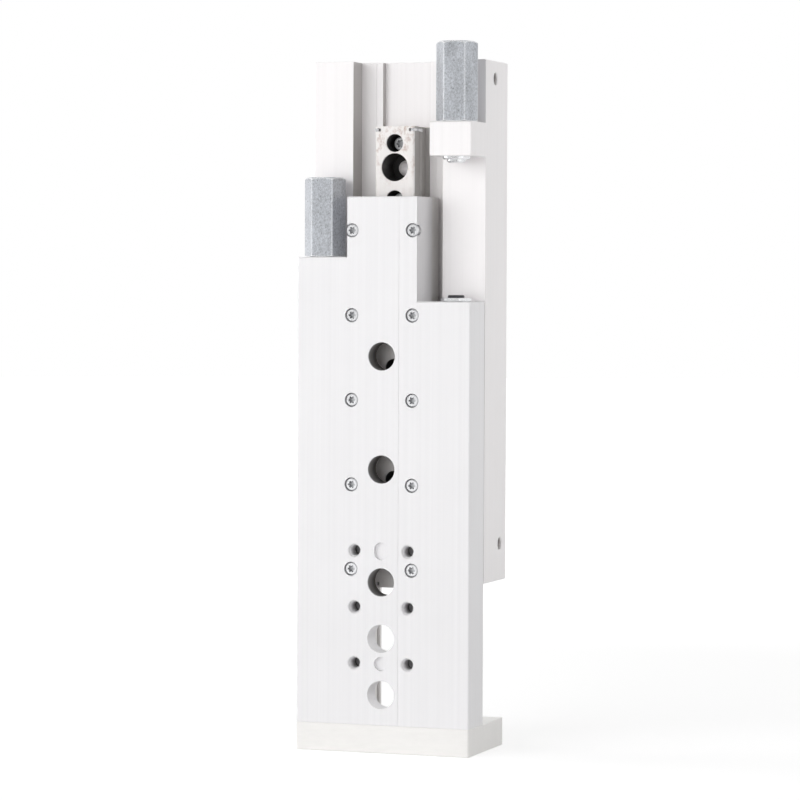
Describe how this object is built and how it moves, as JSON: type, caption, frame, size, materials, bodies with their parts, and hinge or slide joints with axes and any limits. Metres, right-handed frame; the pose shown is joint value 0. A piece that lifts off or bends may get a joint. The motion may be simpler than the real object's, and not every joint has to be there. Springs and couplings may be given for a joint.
{
  "type": "pneumatic slide table",
  "caption": "Pneumatic slide table: a stepped, drilled slide plate runs on a ball-cage rail in a piston housing, tied to the piston rods by a yoke, with hexagon-capped cushioned stops.",
  "frame": {"origin": "middle of the yoke's lower face, below the middle of the whole depth", "axes": "+Z along the stroke from the yoke towards the stops, +Y from the slide's face to the housing's back, +X across the width towards the air ports"},
  "size_m": [0.065, 0.0412, 0.2518],
  "materials": {
    "anodised_aluminium": "clear anodised, fine satin with lengthways grain",
    "ground_steel": "hardened and ground",
    "bright_steel": "bright",
    "zinc_plate": "mottled blue zinc plating",
    "black_steel": "black oxide",
    "bronze": "turned bearing bronze",
    "rubber": "moulded nitrile",
    "resin": "sliding resin"
  },
  "bodies": {
    "housing": {"housing": "anodised_aluminium", "guide_rail": "ground_steel", "guide_rail_screws": "bright_steel", "cage_stops": "bright_steel", "retract_stop_cap": "zinc_plate", "retract_stop_barrel": "bright_steel", "retract_cushion": "rubber", "retract_stop_plug": "black_steel", "extend_anvil_screw": "black_steel", "extend_anvil_nut": "bright_steel", "top_plug_left": "anodised_aluminium", "top_plug_right": "anodised_aluminium", "top_plug_seals": "rubber", "top_circlips": "black_steel", "bearing_cap_left": "bronze", "bearing_cap_right": "bronze", "bearing_cap_seals": "rubber", "rod_seals": "rubber", "bottom_circlips": "black_steel", "passage_plugs": "bright_steel"},
    "slide": {"slide_plate": "anodised_aluminium", "yoke": "anodised_aluminium", "yoke_screws": "black_steel", "outer_rail_left": "ground_steel", "outer_rail_right": "ground_steel", "outer_rail_screws": "bright_steel", "extend_stop_cap": "zinc_plate", "extend_stop_barrel": "bright_steel", "extend_cushion": "rubber", "extend_stop_plug": "black_steel", "retract_anvil_screw": "black_steel", "retract_anvil_nut": "bright_steel", "piston_rod_left": "bright_steel", "piston_rod_right": "bright_steel", "piston_left": "anodised_aluminium", "piston_right": "anodised_aluminium", "piston_seals_left": "rubber", "piston_seals_right": "rubber", "magnet_left": "black_steel", "magnet_right": "black_steel", "guide_ring_left": "resin", "guide_ring_right": "resin", "piston_nuts": "bright_steel", "rod_screws": "black_steel"},
    "cages": {"ball_cage_left": "bronze", "ball_cage_right": "bronze", "balls_left": "bright_steel", "balls_right": "bright_steel"},
    "retract_pin": {"retract_buffer_pin": "bright_steel"},
    "extend_pin": {"extend_buffer_pin": "bright_steel"}
  },
  "joints": [
    {"name": "slide_travel", "type": "slide", "parent": "housing", "child": "slide", "axis": [0, 0, 1], "range_m": [-0.0535, 0.0465]},
    {"name": "cage_travel", "type": "slide", "parent": "housing", "child": "cages", "axis": [0, 0, 1], "range_m": [-0.0268, 0.0233]},
    {"name": "retract_buffer_travel", "type": "slide", "parent": "housing", "child": "retract_pin", "axis": [0, 0, 1], "range_m": [0, 0.001], "stiffness_N_per_m": 2000, "springref_m": -0.0005},
    {"name": "extend_buffer_travel", "type": "slide", "parent": "slide", "child": "extend_pin", "axis": [0, 0, 1], "range_m": [0, 0.001], "stiffness_N_per_m": 2000, "springref_m": -0.0005}
  ],
  "couplings": [
    {"joint": "cage_travel", "follows": "slide_travel", "ratio": 0.5}
  ]
}
